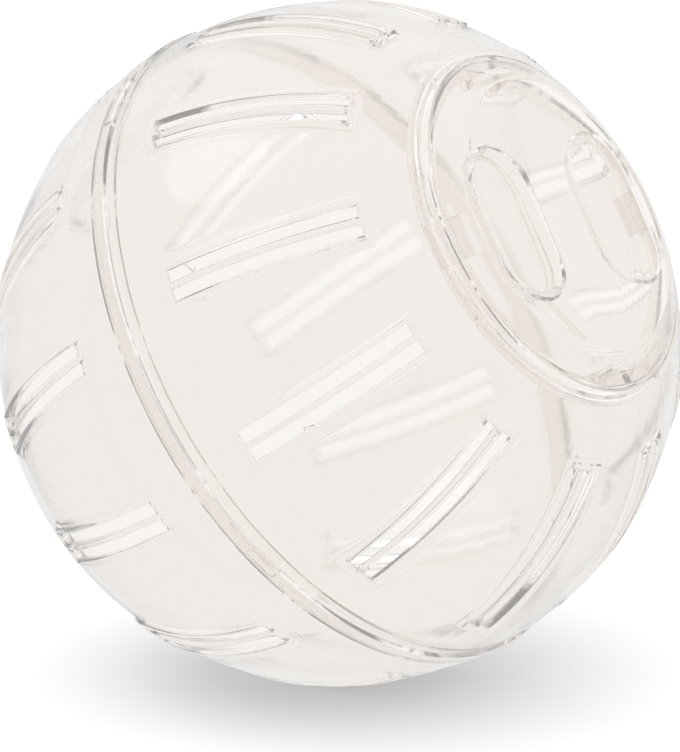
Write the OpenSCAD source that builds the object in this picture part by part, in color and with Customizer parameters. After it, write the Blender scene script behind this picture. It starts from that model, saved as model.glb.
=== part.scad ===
// Clear two-part exercise ball for a hamster, with a round lift-off door near one pole.
// Origin at the ball's centre. The pole axis lies in the XZ plane and rises towards +X,
// as the ball lies on a floor. Inside each piece the pole axis is local +Z.

/* [Ball] */
// Outer radius of the shell
ball_r = 89; // [84:0.5:110]
// Thickness of the shell wall
shell_wall = 1.8; // [1.6:0.1:2.2]
// Angle of the pole axis above the floor
lean_angle = 32; // [0:1:60]

/* [Seam between the halves] */
// How far the sleeve stands out from the shell
sleeve_step = 1; // [0.8:0.1:1.2]
// Wall of the sleeve
sleeve_wall = 1.8; // [1.6:0.1:2]
// Height of the sleeve's free edge above the equator
sleeve_top = 1.9; // [1.4:0.1:3]
// Height of the centre that the sleeve's outer face is rounded about
sleeve_flare = 6; // [5.5:0.1:6.5]
// Reach of the sleeve below the equator, where its flare is inside the shell's wall
sleeve_reach = 16; // [15:0.5:18]
// Wall of the rim that goes inside the sleeve
rim_wall = 1.8; // [1.5:0.1:2.2]
// Depth of the inner rim's free edge below the equator
rim_reach = 2.7; // [2.3:0.1:4]
// Length of the inner rim's root inside the door half's wall
rim_root = 2; // [1.6:0.1:4]
// Gap between the sleeve and what goes inside it
seam_gap = 0.3; // [0.2:0.05:0.4]
// Number of twist-lock tabs around the seam
seam_tabs = 4; // [2:1:8]
// Width of a seam tab, in degrees
seam_tab_angle = 6; // [3:0.5:10]
// Height of a seam tab above the rim
seam_tab_rise = 0.8; // [0.6:0.1:0.9]
// Size of a seam tab along the pole axis
seam_tab_size = 1.8; // [1.4:0.1:2]
// Turn that frees the halves, in degrees
seam_turn = 12; // [6:1:20]
// Place of the first seam tab around the pole axis
seam_tab_at = 300; // [0:1:359]

/* [Vents] */
// Number of vents around each half
vents = 12; // [6:1:16]
// Angle from the pole to the near end of a vent
vent_start = 45.5; // [44:0.5:52]
// Angle from the pole to the far end of a vent
vent_end = 79; // [60:0.5:79]
// Width of one slot
slot_w = 3.6; // [2:0.1:3.8]
// Width of the bar between the two slots of a vent
slot_bar = 1.5; // [1:0.1:3]
// Width of the raised border beside the slots
vent_border = 1.2; // [0.8:0.1:2]
// How far the raised border's surface is shifted towards the pole
vent_lift = 1.3; // [0.5:0.1:2]
// Length of the raised border past each end of the slots
vent_brow = 1.6; // [1:0.1:2]
// Place of the first vent of the door half around the pole axis
door_half_vent_at = 11.6; // [0:0.1:29]
// Place of the first vent of the closed half around the pole axis
closed_half_vent_at = 14.7; // [0:0.1:29]

/* [Door opening] */
// Outer radius of the collar around the opening
collar_r = 49; // [47:0.5:52]
// Wall of the collar
collar_wall = 1.8; // [1.2:0.1:2.4]
// Depth of the ledge's underside below the collar's inner edge
ledge_depth = 4.6; // [4:0.1:7]
// Thickness of the ledge that the door rests on
ledge_t = 1.8; // [1.2:0.1:2.4]
// Width of the ledge inside the collar
ledge_w = 4.9; // [4:0.1:6]
// Number of notches in the ledge, one for each lug of the door
door_lugs = 4; // [2:1:6]
// Width of a notch, in degrees
notch_angle = 18; // [16:0.5:22]
// Place of the first notch around the pole axis
door_lug_at = 83; // [0:1:89]
// Turn from a notch to its stop rib, in degrees
lock_turn = 26; // [22:1:30]
// Width of a stop rib
stop_w = 2; // [1:0.1:4]
// Depth of a stop rib below the ledge
stop_drop = 1.6; // [1:0.1:2.2]

/* [Door] */
// Height of the door's flat face above the collar's inner edge
door_rise = 5; // [2:0.1:5.2]
// Thickness of the door's walls
door_wall = 1.8; // [1.4:0.1:2.2]
// Gap between the door's skirt and the collar
door_gap = 0.4; // [0.3:0.05:0.6]
// Gap between the door and the ledge that it rests on
seat_gap = 0.2; // [0.1:0.05:0.3]
// Gap between the legs of the door's lugs and the ledge
leg_gap = 0.3; // [0.2:0.05:0.6]
// Width of a lug, in degrees
lug_angle = 15; // [8:1:15]
// Thickness of a lug
lug_t = 2; // [1.5:0.1:3]
// Gap between a lug's tip and the collar
lug_tip_gap = 1.2; // [0.6:0.1:1.8]
// Gap between a lug and the ledge above it
lug_gap = 0.4; // [0.2:0.05:0.6]
// Distance of each finger recess from the door's axis
recess_offset = 22.7; // [20:0.1:23]
// Width of a finger recess
recess_w = 24; // [18:0.5:24]
// Length of a finger recess
recess_l = 42; // [30:0.5:42]
// Depth of a finger recess
recess_d = 4; // [3:0.1:6]
// How much narrower a finger recess is at its floor, on each side
recess_taper = 2; // [0:0.1:3]

/* [Hidden] */
$fn = 128;

// Extra length that lets a cut run past the surface it opens
overrun = 1;
clear_tint = [0.93, 0.92, 0.9, 0.45];
door_tint = [0.9, 0.89, 0.87, 0.5];

shell_in_r = ball_r - shell_wall;
sleeve_r = ball_r + sleeve_step;
sleeve_in_r = sleeve_r - sleeve_wall;
rim_r = sleeve_in_r - seam_gap;
rim_in_r = rim_r - rim_wall;
// Walls below this radius are inside every shell
core_r = rim_in_r - ball_r / 10;
outside_r = sleeve_r + vent_lift + overrun;

vent_half_w = slot_bar / 2 + slot_w + vent_border;
vent_brow_angle = vent_brow / ball_r * 180 / PI;

rim_edge = -rim_reach;

collar_in_r = collar_r - collar_wall;
opening_edge = sqrt(ball_r * ball_r - collar_in_r * collar_in_r);
ledge_low = opening_edge - ledge_depth;
door_top = opening_edge + door_rise;
// The ledge and the stop ribs end half way through the collar's wall
collar_seat_r = collar_r - collar_wall / 2;
collar_low = ledge_low - stop_drop;
ledge_in_r = collar_in_r - ledge_w;
ledge_top = ledge_low + ledge_t;
skirt_r = collar_in_r - door_gap;
leg_r = ledge_in_r - leg_gap;
lug_top = ledge_low - lug_gap;
lug_low = lug_top - lug_t;
lug_tip_r = collar_in_r - lug_tip_gap;
notch_r = lug_tip_r + door_gap;

// Direction of a point at an angle from the pole, in the plane of a meridian
function meridian(angle) = [sin(angle), cos(angle)];

// Part of a hollow sphere between two heights; its outside may be a sphere set higher
module zone(outer_r, inner_r, low, high, raised = 0) {
    intersection() {
        difference() {
            translate([0, 0, raised]) sphere(r = outer_r);
            sphere(r = inner_r);
        }
        translate([0, 0, low]) cylinder(r = outside_r, h = high - low);
    }
}

// Upright tube between two heights
module tube(outer_r, inner_r, low, high) {
    difference() {
        translate([0, 0, low]) cylinder(r = outer_r, h = high - low);
        translate([0, 0, low - overrun])
            cylinder(r = inner_r, h = high - low + 2 * overrun);
    }
}

// Wedge around the pole axis from one angle to another, under a quarter turn
module wedge(from, to, low, high) {
    reach = 2 * outside_r;
    translate([0, 0, low]) linear_extrude(height = high - low)
        polygon([[0, 0], reach * [cos(from), sin(from)], reach * [cos(to), sin(to)]]);
}

// Copies around the pole axis
module ring_of(count, first) {
    for (i = [0 : count - 1]) rotate([0, 0, first + i * 360 / count]) children();
}

// Slab across the shell along a meridian, from one angle off the pole to another
module meridian_slab(from, to, width, inner, outer) {
    middle = (from + to) / 2;
    flank = outer / cos((to - from) / 2);
    translate([0, width / 2, 0]) rotate([90, 0, 0]) linear_extrude(height = width)
        polygon([inner * meridian(from), flank * meridian(from),
            flank * meridian(to), inner * meridian(to), inner * meridian(middle)]);
}

// Raised borders of one half's vents, highest at their pole end
module vent_borders(first) {
    intersection() {
        difference() {
            translate([0, 0, vent_lift]) sphere(r = ball_r);
            sphere(r = ball_r - shell_wall / 2);
        }
        ring_of(vents, first)
            meridian_slab(vent_start - vent_brow_angle, vent_end + vent_brow_angle,
                2 * vent_half_w, core_r, outside_r);
    }
}

// The two slots of every vent
module vent_slots(first) {
    ring_of(vents, first)
        for (side = [-1, 1])
            translate([0, side * (slot_bar + slot_w) / 2, 0])
                meridian_slab(vent_start, vent_end, slot_w, core_r, outside_r);
}

// Twist-lock tabs on the inner rim
module rim_tabs() {
    middle = (sleeve_top + rim_edge) / 2;
    ring_of(seam_tabs, seam_tab_at)
        intersection() {
            zone(rim_r + seam_tab_rise, rim_in_r, middle - seam_tab_size / 2,
                middle + seam_tab_size / 2);
            wedge(-seam_tab_angle / 2, seam_tab_angle / 2, rim_edge, sleeve_top);
        }
}

// Grooves in the sleeve: a tab enters from the edge and turns along its groove
module sleeve_grooves() {
    middle = (sleeve_top + rim_edge) / 2;
    side_gap = seam_gap / ball_r * 180 / PI;
    deep_r = rim_r + seam_tab_rise + seam_gap;
    ring_of(seam_tabs, seam_tab_at) {
        intersection() {
            zone(deep_r, rim_in_r, middle - seam_tab_size / 2 - seam_gap,
                middle + seam_tab_size / 2 + seam_gap);
            wedge(-seam_turn - seam_tab_angle / 2 - side_gap,
                seam_tab_angle / 2 + side_gap, rim_edge, sleeve_top);
        }
        intersection() {
            zone(deep_r, rim_in_r, middle, sleeve_top + overrun);
            wedge(-seam_turn - seam_tab_angle / 2 - side_gap,
                -seam_turn + seam_tab_angle / 2 + side_gap, rim_edge,
                sleeve_top + overrun);
        }
    }
}

// Notched ledge and stop ribs inside the collar of the door opening
module opening_rim() {
    difference() {
        tube(collar_seat_r, ledge_in_r, ledge_low, ledge_top);
        ring_of(door_lugs, door_lug_at)
            intersection() {
                tube(notch_r, ledge_in_r - overrun, ledge_low - overrun,
                    ledge_top + overrun);
                wedge(-notch_angle / 2, notch_angle / 2, 0, ball_r);
            }
    }
    ring_of(door_lugs, door_lug_at + lock_turn)
        intersection() {
            tube(collar_seat_r, ledge_in_r + stop_w / 2, ledge_low - stop_drop,
                ledge_low + ledge_t / 2);
            translate([0, -stop_w / 2, 0]) cube([ball_r, stop_w, ball_r]);
        }
}

// Half width of a finger recess at a height, grown by a wall
function recess_r(grow, height) =
    recess_w / 2 + grow + (height - door_top) * recess_taper / recess_d;

// Tapered stadium-shaped column at one finger recess
module recess_column(grow, low, high) {
    straight = recess_l - recess_w;
    low_r = recess_r(grow, low);
    high_r = recess_r(grow, high);
    translate([recess_offset, 0, 0]) {
        for (side = [-1, 1])
            translate([0, side * straight / 2, low])
                cylinder(r1 = low_r, r2 = high_r, h = high - low);
        translate([0, straight / 2, 0]) rotate([90, 0, 0]) linear_extrude(height = straight)
            polygon([[-low_r, low], [low_r, low], [high_r, high], [-high_r, high]]);
    }
}

// Places a piece with its pole axis leaning as the ball lies
module leaning() {
    rotate([0, 90 - lean_angle, 0]) children();
}

// Half shell with the door opening, carrying the inner rim of the seam
module door_half() {
    color(clear_tint) leaning() {
        difference() {
            union() {
                intersection() {
                    sphere(r = ball_r);
                    union() {
                        difference() {
                            translate([0, 0, sleeve_top + seam_gap])
                                cylinder(r = outside_r, h = outside_r);
                            sphere(r = shell_in_r);
                        }
                        translate([0, 0, collar_low])
                            cylinder(r = collar_r, h = outside_r - collar_low);
                    }
                }
                vent_borders(door_half_vent_at);
            }
            translate([0, 0, collar_low - overrun]) cylinder(r = collar_in_r, h = outside_r);
            vent_slots(door_half_vent_at);
        }
        zone(rim_r, rim_in_r, rim_edge, sleeve_top + seam_gap + rim_root);
        rim_tabs();
        opening_rim();
    }
}

// Half shell without an opening, carrying the outer sleeve of the seam
module closed_half() {
    color(clear_tint) leaning() {
        difference() {
            union() {
                zone(ball_r, shell_in_r, -outside_r, rim_edge - seam_gap);
                zone(sleeve_r, sleeve_in_r, -sleeve_reach, sleeve_top, sleeve_flare);
                mirror([0, 0, 1]) vent_borders(closed_half_vent_at);
            }
            mirror([0, 0, 1]) vent_slots(closed_half_vent_at);
            sleeve_grooves();
        }
    }
}

// Round door with a flat face, two finger recesses and lugs on legs under it
module door() {
    color(door_tint) leaning() {
        difference() {
            union() {
                difference() {
                    intersection() {
                        sphere(r = ball_r);
                        translate([0, 0, ledge_top + seat_gap])
                            cylinder(r = skirt_r, h = door_top - ledge_top - seat_gap);
                    }
                    intersection() {
                        sphere(r = ball_r - door_wall);
                        cylinder(r = skirt_r - door_wall, h = door_top - door_wall);
                    }
                }
                ring_of(2, door_lug_at)
                    recess_column(door_wall, door_top - recess_d - door_wall,
                        door_top - door_wall / 2);
            }
            ring_of(2, door_lug_at)
                recess_column(0, door_top - recess_d, door_top + overrun);
        }
        ring_of(door_lugs, door_lug_at)
            intersection() {
                union() {
                    tube(leg_r, leg_r - door_wall, lug_low, ball_r);
                    tube(lug_tip_r, leg_r - door_wall / 2, lug_low, lug_top);
                }
                sphere(r = ball_r - door_wall / 2);
                wedge(-lug_angle / 2, lug_angle / 2, 0, ball_r);
            }
    }
}

door_half();
closed_half();
door();
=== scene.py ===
"""Clear hamster ball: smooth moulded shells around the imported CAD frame, on a white floor."""

import math

import bmesh
import bpy
import numpy as np
from mathutils import Matrix, Vector


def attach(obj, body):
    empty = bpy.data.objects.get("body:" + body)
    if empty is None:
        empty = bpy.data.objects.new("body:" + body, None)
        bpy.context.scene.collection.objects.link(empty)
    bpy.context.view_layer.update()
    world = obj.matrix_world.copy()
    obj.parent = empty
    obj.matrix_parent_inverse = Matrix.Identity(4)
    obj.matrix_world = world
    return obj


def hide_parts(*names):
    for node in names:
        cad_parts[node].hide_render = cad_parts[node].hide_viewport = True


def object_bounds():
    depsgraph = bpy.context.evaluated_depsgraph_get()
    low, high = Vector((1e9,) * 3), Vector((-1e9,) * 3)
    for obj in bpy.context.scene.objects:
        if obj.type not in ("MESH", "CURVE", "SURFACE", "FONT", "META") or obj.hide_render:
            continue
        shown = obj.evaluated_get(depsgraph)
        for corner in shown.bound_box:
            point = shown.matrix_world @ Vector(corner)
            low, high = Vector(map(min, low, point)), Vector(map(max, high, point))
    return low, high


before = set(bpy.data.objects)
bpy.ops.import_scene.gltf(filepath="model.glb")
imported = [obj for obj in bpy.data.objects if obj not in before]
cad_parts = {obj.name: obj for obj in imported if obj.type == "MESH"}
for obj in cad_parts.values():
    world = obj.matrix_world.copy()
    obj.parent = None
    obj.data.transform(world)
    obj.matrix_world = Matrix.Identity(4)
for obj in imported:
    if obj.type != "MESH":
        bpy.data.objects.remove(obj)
cad_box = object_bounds()
scene = bpy.context.scene

# Camera, fitted to the photograph (degrees, metres, and mm for its lens)
CAMERA_AZIMUTH, CAMERA_ELEVATION, CAMERA_DISTANCE = 30.95, 14.0, 2.2007
SENSOR, LENS, NEAREST = 36, 404.3, 0.01
SHIFT_X, SHIFT_Y = 0.0009, -0.0442

# Sizes in mm and degrees, as in the part's source; heights are along the pole axis
MM = 0.001
LEAN_ANGLE = 32
BALL_R, WALL = 89.0, 1.8
SHELL_IN = BALL_R - WALL
SLEEVE_R, SLEEVE_IN, SLEEVE_TOP, SLEEVE_LOW, FLARE = 90.0, 88.2, 1.9, 3.0, 6.0
RIM_R, RIM_IN, RIM_EDGE, RIM_ROOT = 87.9, 86.1, -2.7, 4.2
SEAM_GAP, HALF_EDGE = 0.3, 2.2
TAB_AT, TAB_HALF, TAB_MID, TAB_SIZE, TAB_RISE, TURN = 300.0, 3.0, -0.4, 1.8, 0.8, 12.0
TAB_LOW, TAB_HIGH = TAB_MID - TAB_SIZE / 2, TAB_MID + TAB_SIZE / 2
VENTS, VENT_FROM, VENT_TO = 12, 45.5, 79.0
DOOR_HALF_VENT_AT, CLOSED_HALF_VENT_AT = 11.6, 14.7
SLOT_IN, SLOT_OUT = 0.75, 4.35
LIFT, BROW = 1.3, math.degrees(1.6 / BALL_R)
COLLAR_R, COLLAR_IN = 49.0, 47.2
OPENING_EDGE = math.sqrt(BALL_R**2 - COLLAR_IN**2)
LEDGE_DEPTH, LEDGE_T, STOP_DROP = 4.6, 1.8, 1.6
LEDGE_LOW = OPENING_EDGE - LEDGE_DEPTH
LEDGE_TOP, COLLAR_LOW = LEDGE_LOW + LEDGE_T, LEDGE_LOW - STOP_DROP
LEDGE_IN, NOTCH_R, STOP_IN, STOP_MID = 42.3, 46.4, 43.3, 45.0
LUGS, LUG_AT, LUG_HALF, NOTCH_HALF, STOP_TURN = 4, 83.0, 7.5, 9.0, 26.0
STOP_HALF = math.degrees(1.0 / STOP_MID)
DOOR_RISE, SEAT_GAP, LUG_GAP, LUG_T = 5.0, 0.2, 0.4, 2.0
DOOR_TOP, DOOR_LOW = OPENING_EDGE + DOOR_RISE, LEDGE_TOP + SEAT_GAP
DOOR_UNDER = DOOR_TOP - WALL
SKIRT_R, SKIRT_IN = 46.8, 45.0
LEG_R, LEG_IN, LUG_TIP = 42.0, 40.2, 46.0
LUG_TOP, LUG_LOW = LEDGE_LOW - LUG_GAP, LEDGE_LOW - LUG_GAP - LUG_T
RECESS_AT, RECESS_W, RECESS_L = 22.7, 24.0, 42.0

# How the meshes are laid out (mm and degrees)
ROUND, ROUND_SHARE = 0.28, 0.45
STEP = 360.0 / VENTS
NEAR_OPENING, NEAR_VENTS, PAST_VENTS = 37.0, 44.2, 80.3
DOOR_HALF_SEAM_AT, CLOSED_HALF_SEAM_AT = 86.4, 81.9
COLUMN_SIDES = (0.0, 0.47, SLOT_IN, 2.55, SLOT_OUT, 4.63, 4.95)
BORDER_SIDES = ((5.38, 1.0), (5.48, 0.85), (5.63, 0.15), (5.75, 0.0))
BORDER_ENDS = ((0.13, 1.0), (0.06, 0.85), (-0.04, 0.15), (-0.12, 0.0))
SLOT_ENDS = (0.18, 0.5)
VENT_SIDE = BORDER_SIDES[-1][0]
BETWEEN_VENTS = (0.2, 0.4, 0.6, 0.8)
VENT_ROWS = 20
EDGE_HALF, EDGE_STEP, EDGE_REACH = 0.06, 0.03, 5

# Rows between the vents and the edges: angles off the pole, or heights and widths in mm
NEAR_POLE = (0.6, 2, 4, 7, 10, 13, 16, 19, 22, 25, 28, 31, 34, 37, 39, 41, 42.5, 43.6)
NEAR_COLLAR, COLLAR_MID = range(35, 44), 74.0
DOOR_HALF_OUT, DOOR_HALF_IN = (80.5, 81, 82, 83.5, 85, 86.7), (86.5, 85, 83.5, 82, 81, 80.5)
CLOSED_HALF_OUT, CLOSED_HALF_IN = (80.5, 80.9, 81.4, 81.9), (86.8, 85.5, 84, 82.9, 81.9, 81.2, 80.5)
RIM_FROM, RIM_TO, HALF_EDGE_FROM, SLEEVE_TO = -2.0, 1.5, 3.2, -3.8
FLARE_ROWS = (-11.91, -11, -9.5, -8, -6, -4, -2, 0, 1.2)

# The door's columns and rows, and the (width, depth) steps down into its recesses
DOOR_COLUMNS, DOOR_START, LEG_MID, LEG_SPREAD = 288, 20, 73.0, 0.03
DOOR_CURVE, TOP_MARGIN, SKIRT_FOOT, UNDER_LEG = (39.6, 41.2, 42.6, 44.2, 45.6), 0.9, 43.8, 39.0
RECESS_ARC, RECESS_SIDE = 20, 8
SCOOP = ((0.25, 0.0), (0.05, 0.06), (-0.1, 0.25), (-1.2, 2.4), (-1.8, 3.3), (-2.5, 3.75),
         (-3.5, 3.95), (-5.0, 4.0), (-7.0, 4.0))
SCOOP_UNDER = ((0.9, 1.8), (0.0, 3.6), (-0.7, 5.0), (-1.4, 5.5), (-2.4, 5.75), (-3.6, 5.8),
               (-7.0, 5.8))
TINY, WELD, SHARP_ANGLE = 1e-6, 2e-7, 50

# Plastic and light
# The plastic's faint warm emission is a painted glow that brightens its body; the plastic is no
# lamp
TINT, TINT_EDGE_ON, PAINTED_GLOW_COLOUR, PAINTED_GLOW = (0.892, 0.868, 0.847), 0.82, (1.0, 0.98, 0.96, 1), 0.022
PLASTIC_IOR, FACING_BLEND, EDGE_ON_FROM = 1.4, 0.5, 0.62
SWIRL = {"Scale": 26.0, "Detail": 2.0, "Roughness": 0.45}
FINE = {"Scale": 240.0, "Detail": 3.0, "Roughness": 0.5}
FINE_HEIGHT, FINE_GLOSS, RIPPLE_HEIGHT = 0.04, 0.03, 0.0012
WHITE = (1, 1, 1, 1)
FLOOR_HALF, FLOOR_GREY, FLOOR_LIFT = 6.0, (0.85, 0.85, 0.85, 1), 0.45
FLOOR_MIRRORED, ROOM_LOW, ROOM_RISE = 0.8, -0.2, 0.7
LAMP_PLACE, LAMP_SIZE, LAMP_POWER = (-0.69, -0.44, 1.26), 0.8, 1.5


def make_camera():
    """Camera at the photograph's place: 14 degrees above the ball's centre, 2.2 m away."""
    azimuth, elevation = math.radians(CAMERA_AZIMUTH), math.radians(CAMERA_ELEVATION)
    away = Vector((
        math.sin(azimuth) * math.cos(elevation),
        -math.cos(azimuth) * math.cos(elevation),
        math.sin(elevation),
    ))
    lens = bpy.data.cameras.new("photo_camera")
    lens.sensor_width, lens.lens, lens.clip_start = SENSOR, LENS, NEAREST
    lens.shift_x, lens.shift_y = SHIFT_X, SHIFT_Y
    camera = bpy.data.objects.new("photo_camera", lens)
    scene.collection.objects.link(camera)
    camera.location = away * CAMERA_DISTANCE
    camera.rotation_euler = (-away).to_track_quat("-Z", "Y").to_euler()
    scene.camera = camera


class Wire:
    """A socket whose operators add their Math nodes."""

    def __init__(self, tree, socket):
        self.tree, self.socket = tree, socket

    def maths(self, operation, *values):
        node = self.tree.nodes.new("ShaderNodeMath")
        node.operation = operation
        for slot, value in zip(node.inputs, values):
            self.tree.feed(slot, value)
        return Wire(self.tree, node.outputs[0])

    def __add__(self, other):
        return self.maths("ADD", self, other)

    def __rsub__(self, other):
        return self.maths("SUBTRACT", other, self)

    def __mul__(self, other):
        return self.maths("MULTIPLY", self, other)

    __radd__, __rmul__ = __add__, __mul__

    def either(self, other):
        return self.maths("MAXIMUM", self, other)


class Finish:
    """The node tree of a material or the world."""

    def __init__(self, owner):
        owner.use_nodes = True
        self.nodes, self.links = owner.node_tree.nodes, owner.node_tree.links
        self.nodes.clear()

    def feed(self, slot, value):
        if isinstance(value, Wire):
            self.links.new(value.socket, slot)
        else:
            slot.default_value = value

    def node(self, kind, stops=(), out=0, **inputs):
        """One node: a colour ramp's stops, then its sockets by name, or by number as _0."""
        made = self.nodes.new(kind)
        if stops:
            ramp = made.color_ramp
            while len(ramp.elements) < len(stops):
                ramp.elements.new(1.0)
            for stop, (place, colour) in zip(ramp.elements, stops):
                stop.position, stop.color = place, colour
        for name, value in inputs.items():
            key = int(name[1:]) if name[0] == "_" else name.replace("_", " ")
            self.feed(made.inputs[key], value)
        return Wire(self, made.outputs[out])

    def rays(self):
        """Whether a ray is seen in a reflection, and whether it came through clear plastic."""
        return (self.node("ShaderNodeLightPath", out=out) for out in (3, 6))

    def show(self, kind, surface):
        out = self.nodes.new(kind)
        self.feed(out.inputs["Surface"], surface)


def clear_plastic(name, gloss, ripple):
    """Clear moulded plastic: every surface tints what is seen through it a little, and gives off a
    faint painted glow.
    """
    material = bpy.data.materials.new(name)
    kit = Finish(material)
    place = kit.node("ShaderNodeTexCoord", out=3)
    swirl = kit.node("ShaderNodeTexNoise", Vector=place, **SWIRL)
    fine = kit.node("ShaderNodeTexNoise", Vector=place, **FINE)
    bump = kit.node(
        "ShaderNodeBump", Strength=ripple, Distance=RIPPLE_HEIGHT,
        Height=swirl + fine * FINE_HEIGHT,
    )
    facing = kit.node("ShaderNodeLayerWeight", out=1, Blend=FACING_BLEND)
    head_on = (*TINT, 1)
    edge_on = (*(TINT_EDGE_ON * share for share in TINT), 1)
    shade = kit.node(
        "ShaderNodeValToRGB", [(0.0, head_on), (EDGE_ON_FROM, head_on), (1.0, edge_on)], _0=facing,
    )
    # Painted glow: a faint warm emission lifts the plastic's tone
    body = kit.node(
        "ShaderNodeBsdfPrincipled", Base_Color=shade, IOR=PLASTIC_IOR,
        Transmission_Weight=1.0, Roughness=gloss + fine * FINE_GLOSS, Normal=bump,
        Emission_Color=PAINTED_GLOW_COLOUR, Emission_Strength=PAINTED_GLOW,
    )
    kit.show("ShaderNodeOutputMaterial", body)
    return material


def lean(points):
    """Pole frame in mm to the row frame in metres."""
    turn = np.array(Matrix.Rotation(math.radians(90 - LEAN_ANGLE), 3, "Y"))
    return np.asarray(points, float) @ turn.T * MM


def mesh_object(name, verts, faces, body, material, replaced):
    """A closed, smoothly shaded mesh that stands for a CAD node."""
    mesh = bpy.data.meshes.new(name)
    mesh.from_pydata([tuple(v) for v in lean(verts)], [], faces)
    mesh.validate()
    work = bmesh.new()
    work.from_mesh(mesh)
    bmesh.ops.remove_doubles(work, verts=work.verts, dist=WELD)
    bmesh.ops.dissolve_degenerate(work, edges=work.edges, dist=WELD)
    bmesh.ops.recalc_face_normals(work, faces=work.faces)
    if work.calc_volume(signed=True) < 0:
        bmesh.ops.reverse_faces(work, faces=work.faces)
    work.to_mesh(mesh)
    work.free()
    mesh.shade_smooth()
    mesh.set_sharp_from_angle(angle=math.radians(SHARP_ANGLE))
    obj = bpy.data.objects.new(name, mesh)
    scene.collection.objects.link(obj)
    obj.data.materials.append(material)
    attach(obj, body)
    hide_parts(replaced)


def smooth_step(x):
    x = min(max(x, 0.0), 1.0)
    return x * x * (3 - 2 * x)


def inside(angle, middle, half):
    return abs((angle - middle + 180) % 360 - 180) < half


def around(first, count=LUGS):
    return [first + k * 360 / count for k in range(count)]


def both_sides(first, half):
    return [a + side * half for a in around(first) for side in (-1, 1)]


# Columns: the angles around the pole axis

def vent_columns(first):
    """Every column as (vent angle, side offset in mm or None, share of the way between vents)."""
    columns = []
    near = [*COLUMN_SIDES, *(side for side, _ in BORDER_SIDES)]
    for at in around(first, VENTS):
        columns += [(at, None, -share) for share in (1.0, *BETWEEN_VENTS[::-1])]
        columns += [(at, -y, 0.0) for y in near[:0:-1]] + [(at, y, 0.0) for y in near]
        columns += [(at, None, share) for share in BETWEEN_VENTS]
    return columns


def vent_angle(column, theta, radius):
    """Angle around the pole axis, in degrees, of a column at an angle off the pole."""
    at, y, share = column
    across = radius * math.sin(math.radians(theta))
    if y is not None:
        return at + math.degrees(math.asin(y / across))
    edge = math.degrees(math.asin(VENT_SIDE / across))
    return at + math.copysign(edge + (STEP / 2 - edge) * abs(share), share)


def snapped(angles, edges):
    """The angles with a close pair at each edge, still in rising order."""
    out = list(angles)
    count = len(out)
    for edge in edges:
        edge = out[0] + (edge - out[0]) % 360
        j = max(i for i in range(count) if out[i] <= edge)
        out[j] = edge - EDGE_HALF
        after = (j + 1) % count
        if after:
            out[after] = edge + EDGE_HALF
        for i in range(j - 1, max(j - 1 - EDGE_REACH, 0), -1):
            out[i] = min(out[i], out[i + 1] - EDGE_STEP)
        for i in range(j + 2, min(j + 2 + EDGE_REACH, count)):
            out[i] = max(out[i], out[i - 1] + EDGE_STEP)
    return out


# Rows: the way round the wall's section

def vent_rows():
    """Angles off the pole of the rows across a vent, with how far its border is raised there."""
    start, end = VENT_FROM - BROW, VENT_TO + BROW
    rows = [(start + side, share) for side, share in BORDER_ENDS[::-1]]
    rows += [(VENT_FROM - side, 1.0) for side in SLOT_ENDS[::-1]]
    rows += [
        (VENT_FROM + i * (VENT_TO - VENT_FROM) / VENT_ROWS, 1.0) for i in range(VENT_ROWS + 1)
    ]
    rows += [(VENT_TO + side, 1.0) for side in SLOT_ENDS]
    return rows + [(end - side, share) for side, share in BORDER_ENDS]


def border_share(y):
    return next(share for side, share in BORDER_SIDES if abs(y) <= side)


def raised_r(theta):
    """Radius of the raised border: a ball of the same size, shifted towards the pole."""
    t = math.radians(theta)
    return LIFT * math.cos(t) + math.sqrt(BALL_R**2 - (LIFT * math.sin(t)) ** 2)


def in_vent(theta):
    return VENT_FROM - TINY <= theta <= VENT_TO + TINY


def on_slot_edge(theta, y):
    if y is None or not in_vent(theta) or not SLOT_IN <= abs(y) <= SLOT_OUT:
        return False
    return min(theta - VENT_FROM, VENT_TO - theta) < TINY or abs(y) in (SLOT_IN, SLOT_OUT)


def ball_rows(radius, thetas):
    return [{"theta": theta, "radius": radius, "raised": 0.0} for theta in thetas]


def raised_rows(rows):
    return [{"theta": theta, "radius": BALL_R, "raised": share} for theta, share in rows]


def at_height(radius, z):
    """The place (distance from the pole axis, height) where a ball's surface has a height."""
    return math.sqrt(radius**2 - z**2), z


def at_width(radius, r):
    """The place where a ball's surface is at a distance from the pole axis."""
    return r, math.sqrt(radius**2 - r**2)


def flat(r, z, feature=None):
    """A point of a path: its place, whether it is a corner, and what its row shapes."""
    return r, z, False, feature


def corner(r, z, feature=None):
    return r, z, True, feature


def profile_rows(path, zone, spread=0.0):
    """Rows of a path with its corners rounded; spread parts a corner's numbered features."""
    rows = []
    for i, (r, z, sharp, feature) in enumerate(path):
        if not sharp or i in (0, len(path) - 1):
            rows.append({"r": r, "z": z, "zone": zone, "feature": feature})
            continue
        p = np.array([r, z])
        a, b = np.array(path[i - 1][:2]) - p, np.array(path[i + 1][:2]) - p
        ra, rb = (min(ROUND, np.linalg.norm(v) * ROUND_SHARE) for v in (a, b))
        s, e = p + a / np.linalg.norm(a) * ra, p + b / np.linalg.norm(b) * rb
        for k, q in enumerate((s, 0.25 * s + 0.5 * p + 0.25 * e, e)):
            moved = feature + spread * k if spread and feature is not None else feature
            rows.append({"r": q[0], "z": q[1], "zone": zone, "feature": moved})
    return rows


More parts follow.
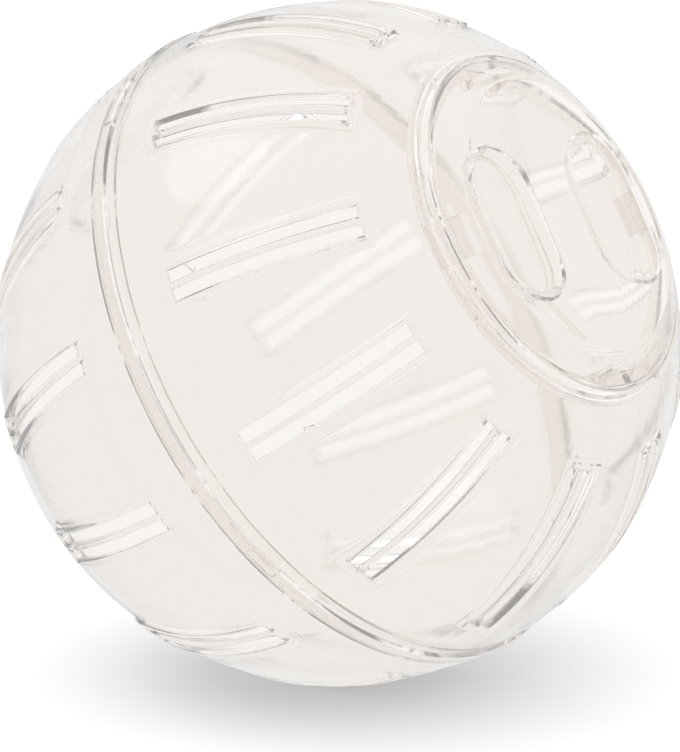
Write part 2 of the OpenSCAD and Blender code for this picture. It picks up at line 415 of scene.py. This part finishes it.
def wall_point(row, column, seam_angle, opening_angle, seam_at):
    """Place of a wall row: columns follow the vents, then turn to those of the seam or opening."""
    theta, radius, y = row["theta"], row["radius"], column[1]
    angle = vent_angle(column, min(max(theta, NEAR_VENTS), PAST_VENTS), radius)
    if theta > PAST_VENTS:
        share = smooth_step((theta - PAST_VENTS) / (seam_at - PAST_VENTS))
        angle += (seam_angle - angle) * share
    elif theta < NEAR_VENTS and opening_angle is not None:
        share = smooth_step((NEAR_VENTS - theta) / (NEAR_VENTS - NEAR_OPENING))
        angle += (opening_angle - angle) * share
    outer = radius > BALL_R - WALL / 2
    if outer and row["raised"] and y is not None:
        radius += (raised_r(theta) - radius) * row["raised"] * border_share(y)
    if on_slot_edge(theta, y):
        radius += -ROUND if outer else ROUND
    t = math.radians(theta)
    return radius * math.sin(t), radius * math.cos(t), angle


def grid_points(rows, columns, seam, opening, feature_shift, seam_at):
    """Points of every row and column, in mm in the pole frame."""
    points = np.zeros((len(rows), len(columns), 3))
    for i, row in enumerate(rows):
        for j, column in enumerate(columns):
            if "theta" in row:
                opening_angle = opening[j] if opening else None
                r, z, angle = wall_point(row, column, seam[j], opening_angle, seam_at)
            else:
                angle = (seam if row["zone"] == "seam" else opening)[j]
                r, z = row["r"], row["z"]
                if row["feature"]:
                    r, z = feature_shift(row["feature"], angle, r, z)
            a = math.radians(angle)
            points[i, j] = (r * math.cos(a), r * math.sin(a), z)
    return points


def vented_faces(rows, columns, closed):
    """Faces of the wall with its slots cut through, for rows that go round the wall's section."""
    n, m = len(rows), len(columns)

    def at(i, j):
        return (i % n) * m + j % m

    def slot_cell(j):
        a, b = columns[j][1], columns[(j + 1) % m][1]
        if a is None or b is None or a * b <= 0:
            return False
        return min(abs(a), abs(b)) >= SLOT_IN and max(abs(a), abs(b)) <= SLOT_OUT

    slot_row = ["theta" in row and in_vent(row["theta"]) for row in rows]
    outer = [i for i, row in enumerate(rows) if slot_row[i] and row["radius"] == BALL_R]
    inner = [i for i, row in enumerate(rows) if slot_row[i] and row["radius"] != BALL_R]
    outer.sort(key=lambda i: rows[i]["theta"])
    inner.sort(key=lambda i: rows[i]["theta"])
    cells = [slot_cell(j) for j in range(m)]
    faces = []
    for i in range(n if closed else n - 1):
        cut = slot_row[i] and slot_row[(i + 1) % n]
        for j in range(m):
            if not (cut and cells[j]):
                faces.append((at(i, j), at(i + 1, j), at(i + 1, j + 1), at(i, j + 1)))
    for j in range(m):
        if not cells[j]:
            continue
        for o, q in ((outer[0], inner[0]), (outer[-1], inner[-1])):
            faces.append((at(o, j), at(o, j + 1), at(q, j + 1), at(q, j)))
        for side, edge in ((j, not cells[j - 1]), (j + 1, not cells[(j + 1) % m])):
            if edge:
                for k in range(len(outer) - 1):
                    faces.append((at(outer[k], side), at(outer[k + 1], side),
                                  at(inner[k + 1], side), at(inner[k], side)))
    return faces


def edge_columns(columns, theta, edges):
    """Column angles at a row next to the seam or the opening, with a close pair at each edge."""
    return snapped([vent_angle(c, theta, BALL_R) for c in columns], edges)


# The half with the door opening

def door_half_shift(feature, angle, r, z):
    """Notches in the ledge, stop ribs under it, and the seam's tabs."""
    if feature == "ledge" and any(inside(angle, a, NOTCH_HALF) for a in around(LUG_AT)):
        return r + NOTCH_R - LEDGE_IN, z
    stops = around(LUG_AT + STOP_TURN)
    if feature == "stop" and any(inside(angle, a, STOP_HALF) for a in stops):
        return r + STOP_IN - COLLAR_IN, z
    if feature == "tab" and any(inside(angle, a, TAB_HALF) for a in around(TAB_AT)):
        return r * (RIM_R + TAB_RISE) / RIM_R, z
    return r, z


def door_half_rows():
    """Round the wall: the seam's rim, up the inside, over the collar, and down the outside."""
    across = vent_rows()
    rim = [
        flat(*at_height(RIM_R, RIM_FROM)),
        corner(*at_height(RIM_R, RIM_EDGE)),
        corner(*at_height(RIM_IN, RIM_EDGE)),
        corner(*at_height(RIM_IN, RIM_ROOT)),
        flat(*at_height(SHELL_IN, RIM_ROOT)),
    ]
    collar = [
        flat(*at_width(SHELL_IN, COLLAR_R)),
        corner(COLLAR_R, COLLAR_LOW),
        corner(COLLAR_IN, COLLAR_LOW, "stop"),
        flat(COLLAR_IN, LEDGE_LOW, "stop"),
        corner(LEDGE_IN, LEDGE_LOW, "ledge"),
        corner(LEDGE_IN, LEDGE_TOP, "ledge"),
        flat(COLLAR_IN, LEDGE_TOP),
        flat(COLLAR_IN, COLLAR_MID),
        corner(*at_width(BALL_R, COLLAR_IN)),
        flat(*at_width(BALL_R, COLLAR_R)),
    ]
    edge = [
        flat(*at_height(BALL_R, HALF_EDGE_FROM)),
        corner(*at_height(BALL_R, HALF_EDGE)),
        flat(*at_height(RIM_R, HALF_EDGE)),
        flat(*at_height(RIM_R, RIM_TO)),
        flat(*at_height(RIM_R, TAB_HIGH + EDGE_HALF)),
        flat(*at_height(RIM_R, TAB_HIGH - EDGE_HALF), "tab"),
        flat(*at_height(RIM_R, TAB_MID), "tab"),
        flat(*at_height(RIM_R, TAB_LOW + EDGE_HALF), "tab"),
        flat(*at_height(RIM_R, TAB_LOW - EDGE_HALF)),
    ]
    return [
        *profile_rows(rim, "seam"),
        *ball_rows(SHELL_IN, DOOR_HALF_IN),
        *ball_rows(SHELL_IN, (theta for theta, _ in reversed(across))),
        *ball_rows(SHELL_IN, reversed(NEAR_COLLAR)),
        *profile_rows(collar, "opening"),
        *ball_rows(BALL_R, NEAR_COLLAR),
        *raised_rows(across),
        *ball_rows(BALL_R, DOOR_HALF_OUT),
        *profile_rows(edge, "seam"),
    ]


def make_door_half(material):
    columns = vent_columns(DOOR_HALF_VENT_AT)
    seam = edge_columns(columns, PAST_VENTS, both_sides(TAB_AT, TAB_HALF))
    notches_and_stops = (
        both_sides(LUG_AT, NOTCH_HALF) + both_sides(LUG_AT + STOP_TURN, STOP_HALF)
    )
    opening = edge_columns(columns, NEAR_VENTS, notches_and_stops)
    rows = door_half_rows()
    points = grid_points(rows, columns, seam, opening, door_half_shift, DOOR_HALF_SEAM_AT)
    faces = vented_faces(rows, columns, closed=True)
    mesh_object("door_half_shell", points.reshape(-1, 3), faces, "door_half", material,
                "door_half")


# The closed half, made with its pole up and then turned over

def closed_half_shift(feature, angle, r, z):
    """Grooves for the tabs inside the sleeve, each open to the edge where its tab enters."""
    half = TAB_HALF + math.degrees(SEAM_GAP / BALL_R)
    deep = (RIM_R + TAB_RISE + SEAM_GAP) / SLEEVE_IN
    for a in around(TAB_AT):
        run = inside(angle, a - TURN / 2, TURN / 2 + half)
        entry = inside(angle, a - TURN, half)
        if (feature == "groove" and run) or (feature == "entry" and entry):
            return r * deep, z
    return r, z


def flare_at(z):
    return math.sqrt(SLEEVE_R**2 - (z - FLARE) ** 2), z


def closed_half_rows():
    """From the pole down the outside, round the sleeve, and back up the inside."""
    across = vent_rows()
    low, high = TAB_LOW - SEAM_GAP, TAB_HIGH + SEAM_GAP
    sleeve = [flat(*flare_at(z)) for z in FLARE_ROWS]
    sleeve += [
        corner(*flare_at(SLEEVE_TOP)),
        corner(*at_height(SLEEVE_IN, SLEEVE_TOP), "entry"),
        flat(*at_height(SLEEVE_IN, high + EDGE_HALF), "entry"),
        flat(*at_height(SLEEVE_IN, high - EDGE_HALF), "groove"),
        flat(*at_height(SLEEVE_IN, TAB_MID), "groove"),
        flat(*at_height(SLEEVE_IN, low + EDGE_HALF), "groove"),
        flat(*at_height(SLEEVE_IN, low - EDGE_HALF)),
        flat(*at_height(SLEEVE_IN, -SLEEVE_LOW)),
        corner(*at_height(SHELL_IN, -SLEEVE_LOW)),
        flat(*at_height(SHELL_IN, SLEEVE_TO)),
    ]
    pole_up = [(r, -z, sharp, feature) for r, z, sharp, feature in sleeve]
    return [
        *ball_rows(BALL_R, NEAR_POLE),
        *raised_rows(across),
        *ball_rows(BALL_R, CLOSED_HALF_OUT),
        *profile_rows(pole_up, "seam"),
        *ball_rows(SHELL_IN, CLOSED_HALF_IN),
        *ball_rows(SHELL_IN, (theta for theta, _ in reversed(across))),
        *ball_rows(SHELL_IN, reversed(NEAR_POLE)),
    ]


def make_closed_half(material):
    columns = vent_columns(CLOSED_HALF_VENT_AT)
    half = TAB_HALF + math.degrees(SEAM_GAP / BALL_R)
    edges = []
    for a in around(TAB_AT):
        edges += [a + half, a - TURN - half, a - TURN + half]
    seam = edge_columns(columns, PAST_VENTS, edges)
    rows = closed_half_rows()
    points = grid_points(rows, columns, seam, None, closed_half_shift, CLOSED_HALF_SEAM_AT)
    faces = vented_faces(rows, columns, closed=False)
    m, last = len(columns), len(rows) - 1
    verts = list(points.reshape(-1, 3)) + [np.array((0, 0, BALL_R)), np.array((0, 0, SHELL_IN))]
    for j in range(m):
        k = (j + 1) % m
        faces.append((len(verts) - 2, j, k))
        faces.append((len(verts) - 1, last * m + k, last * m + j))
    mesh_object("closed_half_shell", np.array(verts) * (1, 1, -1), faces, "closed_half", material,
                "closed_half")


# The door

def stadium(grow, side):
    """Points of a stadium round one finger recess, the same number for every width."""
    half, radius = (RECESS_L - RECESS_W) / 2, RECESS_W / 2 + grow
    points = []
    for end in (1, -1):
        for i in range(RECESS_ARC):
            a = math.pi * (i / (RECESS_ARC - 1)) + (0 if end > 0 else math.pi)
            points.append((radius * math.cos(a), end * half + radius * math.sin(a)))
        for i in range(1, RECESS_SIDE):
            points.append((-end * radius, end * half * (1 - 2 * i / RECESS_SIDE)))
    turn = math.radians(LUG_AT) + (0 if side > 0 else math.pi)
    c, s = math.cos(turn), math.sin(turn)
    return [((x + RECESS_AT) * c - y * s, (x + RECESS_AT) * s + y * c) for x, y in points]


def door_shift(share, angle, r, z):
    """Away from the lugs, the rows of a leg lie flat on the underside instead."""
    if share is None or any(inside(angle, a, LUG_HALF) for a in around(LUG_AT)):
        return r, z
    return at_width(SHELL_IN, LEG_R + (LEG_IN - LEG_R) * share)


def door_rows():
    """From the flat top over the rim and the skirt to the underside, with the legs and lugs.

    A leg's rows end in their share of the way from its outer to its inner side.
    """
    top_r, _ = at_height(BALL_R, DOOR_TOP)
    path = [
        flat(top_r - TOP_MARGIN, DOOR_TOP),
        corner(top_r, DOOR_TOP),
        *(flat(*at_width(BALL_R, r)) for r in DOOR_CURVE),
        corner(*at_width(BALL_R, SKIRT_R)),
        flat(SKIRT_R, COLLAR_MID),
        corner(SKIRT_R, DOOR_LOW),
        corner(SKIRT_IN, DOOR_LOW),
        flat(*at_width(SHELL_IN, SKIRT_IN)),
        flat(*at_width(SHELL_IN, SKIRT_FOOT)),
        flat(*at_width(SHELL_IN, LEG_R), 0.0),
        flat(LEG_R, LEG_MID, 0.08),
        flat(LEG_R, LUG_TOP, 0.16),
        corner(LUG_TIP, LUG_TOP, 0.3),
        corner(LUG_TIP, LUG_LOW, 0.45),
        corner(LEG_IN, LUG_LOW, 0.7),
        flat(LEG_IN, LEG_MID, 0.85),
        flat(*at_width(SHELL_IN, LEG_IN), 1.0),
        flat(*at_width(SHELL_IN, UNDER_LEG)),
        flat(*at_height(SHELL_IN, DOOR_UNDER)),
    ]
    return profile_rows(path, "opening", LEG_SPREAD)


def plate(verts, rings):
    """Triangles that fill a flat round plate between its rim and the two recess mouths."""
    work = bmesh.new()
    back = {}
    edges = []
    for ring in rings:
        made = [work.verts.new(verts[i]) for i in ring]
        back.update(zip(made, ring))
        edges += [work.edges.new((made[i - 1], made[i])) for i in range(len(made))]
    bmesh.ops.triangle_fill(work, edges=edges, use_beauty=True, use_dissolve=False)
    faces = [tuple(back[v] for v in f.verts) for f in work.faces]
    work.free()
    return faces


def strip(a, b):
    """Faces between two loops of as many points."""
    count = len(a)
    return [(a[i], b[i], b[(i + 1) % count], a[(i + 1) % count]) for i in range(count)]


def make_door(material):
    """Turned rim with its legs and lugs, closed above and below by plates around the recesses."""
    angles = snapped(around(LUG_AT - DOOR_START, DOOR_COLUMNS), both_sides(LUG_AT, LUG_HALF))
    verts, faces, rings = [], [], []

    def add_ring(points):
        verts.extend(points)
        return list(range(len(verts) - len(points), len(verts)))

    for row in door_rows():
        points = []
        for angle in angles:
            r, z = door_shift(row["feature"], angle, row["r"], row["z"])
            a = math.radians(angle)
            points.append((r * math.cos(a), r * math.sin(a), z))
        rings.append(add_ring(points))
    for a, b in zip(rings, rings[1:]):
        faces += strip(a, b)
    above, below = [rings[0]], [rings[-1]]
    for side in (1, -1):
        for steps, mouths in ((SCOOP, above), (SCOOP_UNDER, below)):
            loops = [
                add_ring([(x, y, DOOR_TOP - depth) for x, y in stadium(grow, side)])
                for grow, depth in steps
            ]
            for a, b in zip(loops, loops[1:]):
                faces += strip(a, b)
            faces.append(tuple(loops[-1]))
            mouths.append(loops[0])
    for mouths in (above, below):
        faces += plate(verts, mouths)
    mesh_object("round_door", verts, faces, "door", material, "door")


# The room and its lamp

def make_floor():
    """White floor that keeps the shadow, plain white where the plastic shows or mirrors it."""
    low, half = cad_box[0][2], FLOOR_HALF
    mesh = bpy.data.meshes.new("floor")
    corners = [(-half, -half, low), (half, -half, low), (half, half, low), (-half, half, low)]
    mesh.from_pydata(corners, [], [(0, 1, 2, 3)])
    floor = bpy.data.objects.new("floor", mesh)
    scene.collection.objects.link(floor)
    paint = bpy.data.materials.new("white_floor")
    kit = Finish(paint)
    mirrored, through = kit.rays()
    matte = kit.node("ShaderNodeBsdfDiffuse", Color=FLOOR_GREY)
    lift = kit.node("ShaderNodeEmission", Color=WHITE, Strength=FLOOR_LIFT)
    ground = kit.node("ShaderNodeAddShader", _0=matte, _1=lift)
    bright = FLOOR_MIRRORED + through * (1.0 - FLOOR_MIRRORED)
    white = kit.node("ShaderNodeEmission", Color=bright, Strength=1.0)
    seen = mirrored.either(through)
    mix = kit.node("ShaderNodeMixShader", _0=seen, _1=ground, _2=white)
    kit.show("ShaderNodeOutputMaterial", mix)
    mesh.materials.append(paint)


def make_surround():
    """White surround, which reflections see darker at the horizon and brighter overhead."""
    world = bpy.data.worlds.new("white_room")
    scene.world = world
    kit = Finish(world)
    direction = kit.node("ShaderNodeTexCoord", out=0)
    height = kit.node("ShaderNodeSeparateXYZ", out=2, Vector=direction).either(0.0)
    mirrored, through = kit.rays()
    bright = 1.0 + mirrored * (1.0 - through) * (height * ROOM_RISE + ROOM_LOW)
    kit.show(
        "ShaderNodeOutputWorld", kit.node("ShaderNodeBackground", Color=bright, Strength=1.0)
    )


def make_lamp():
    """Round soft box above the ball and to its left, aimed at it."""
    light = bpy.data.lights.new("soft_box", "AREA")
    light.shape, light.size, light.energy = "DISK", LAMP_SIZE, LAMP_POWER
    lamp = bpy.data.objects.new("soft_box", light)
    scene.collection.objects.link(lamp)
    lamp.location = LAMP_PLACE
    lamp.rotation_euler = (-Vector(LAMP_PLACE)).to_track_quat("-Z", "Y").to_euler()


make_camera()
shell_plastic = clear_plastic("clear_shell_plastic", gloss=0.055, ripple=0.3)
make_door_half(shell_plastic)
make_closed_half(shell_plastic)
make_door(clear_plastic("clear_door_plastic", gloss=0.05, ripple=0.2))
make_floor()
make_surround()
make_lamp()

scene.view_settings.view_transform = "Standard"
scene.cycles.caustics_refractive = False
scene.cycles.caustics_reflective = False
scene.cycles.max_bounces = 20
scene.cycles.transmission_bounces = 20
scene.cycles.glossy_bounces = 12
